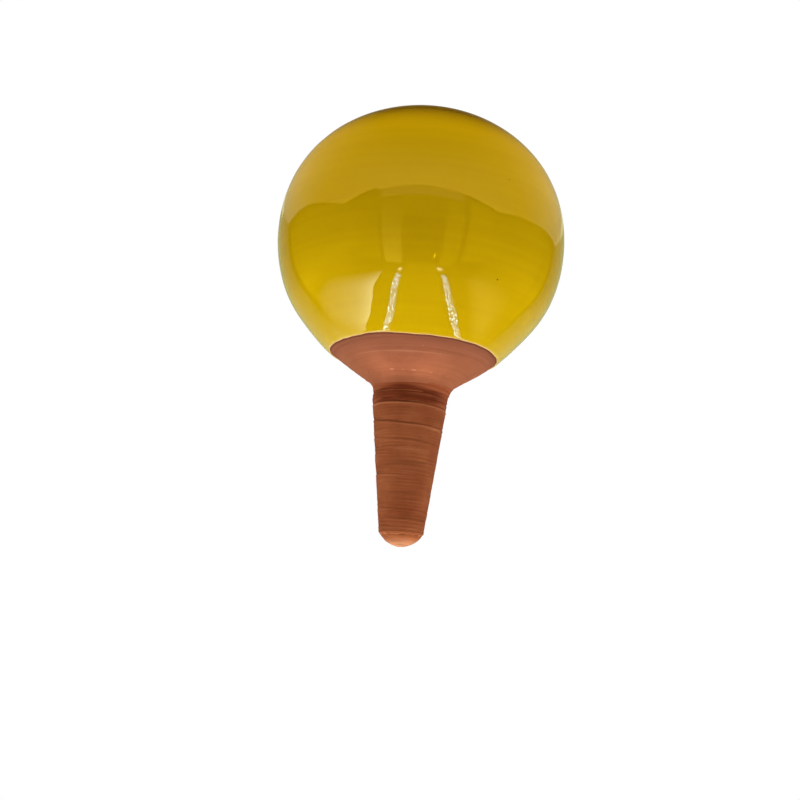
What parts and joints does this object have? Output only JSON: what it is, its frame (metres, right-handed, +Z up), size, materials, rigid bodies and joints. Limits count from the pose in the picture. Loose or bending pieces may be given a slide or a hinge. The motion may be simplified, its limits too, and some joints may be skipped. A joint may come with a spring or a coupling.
{
  "type": "irrigation olla",
  "caption": "Glazed terracotta watering globe on a bare porous spike: a reservoir pushed into a plant pot's soil, filled through a corked throat in its crown.",
  "frame": {"origin": "on the axis at the soil line, where the spike's neck meets the globe", "axes": "+Z up along the axis, towards the crown and the fill hole; the spike points along -Z"},
  "size_m": [0.11, 0.11, 0.1621],
  "materials": {
    "terracotta_body": "matt unglazed terracotta, finely turned",
    "cream_engobe": "matt pale slip",
    "golden_glaze": "glossy opaque golden-yellow glaze",
    "terracotta_spike": "matt unglazed terracotta with throwing ridges",
    "fired_slip": "matt smeared slip",
    "scraped_clay": "rough scraped terracotta",
    "natural_cork": "natural cork with dark pores"
  },
  "bodies": {
    "vessel": {"globe": "terracotta_body", "engobe_coat": "cream_engobe", "glaze_coat": "golden_glaze", "spike": "terracotta_spike", "luting_slip": "fired_slip", "tip_plug": "scraped_clay"},
    "stopper": {"fill_cork": "natural_cork"}
  },
  "joints": [
    {"name": "cork_pull", "type": "slide", "parent": "vessel", "child": "stopper", "axis": [0, 0, 1], "range_m": [0, 0.04]}
  ]
}
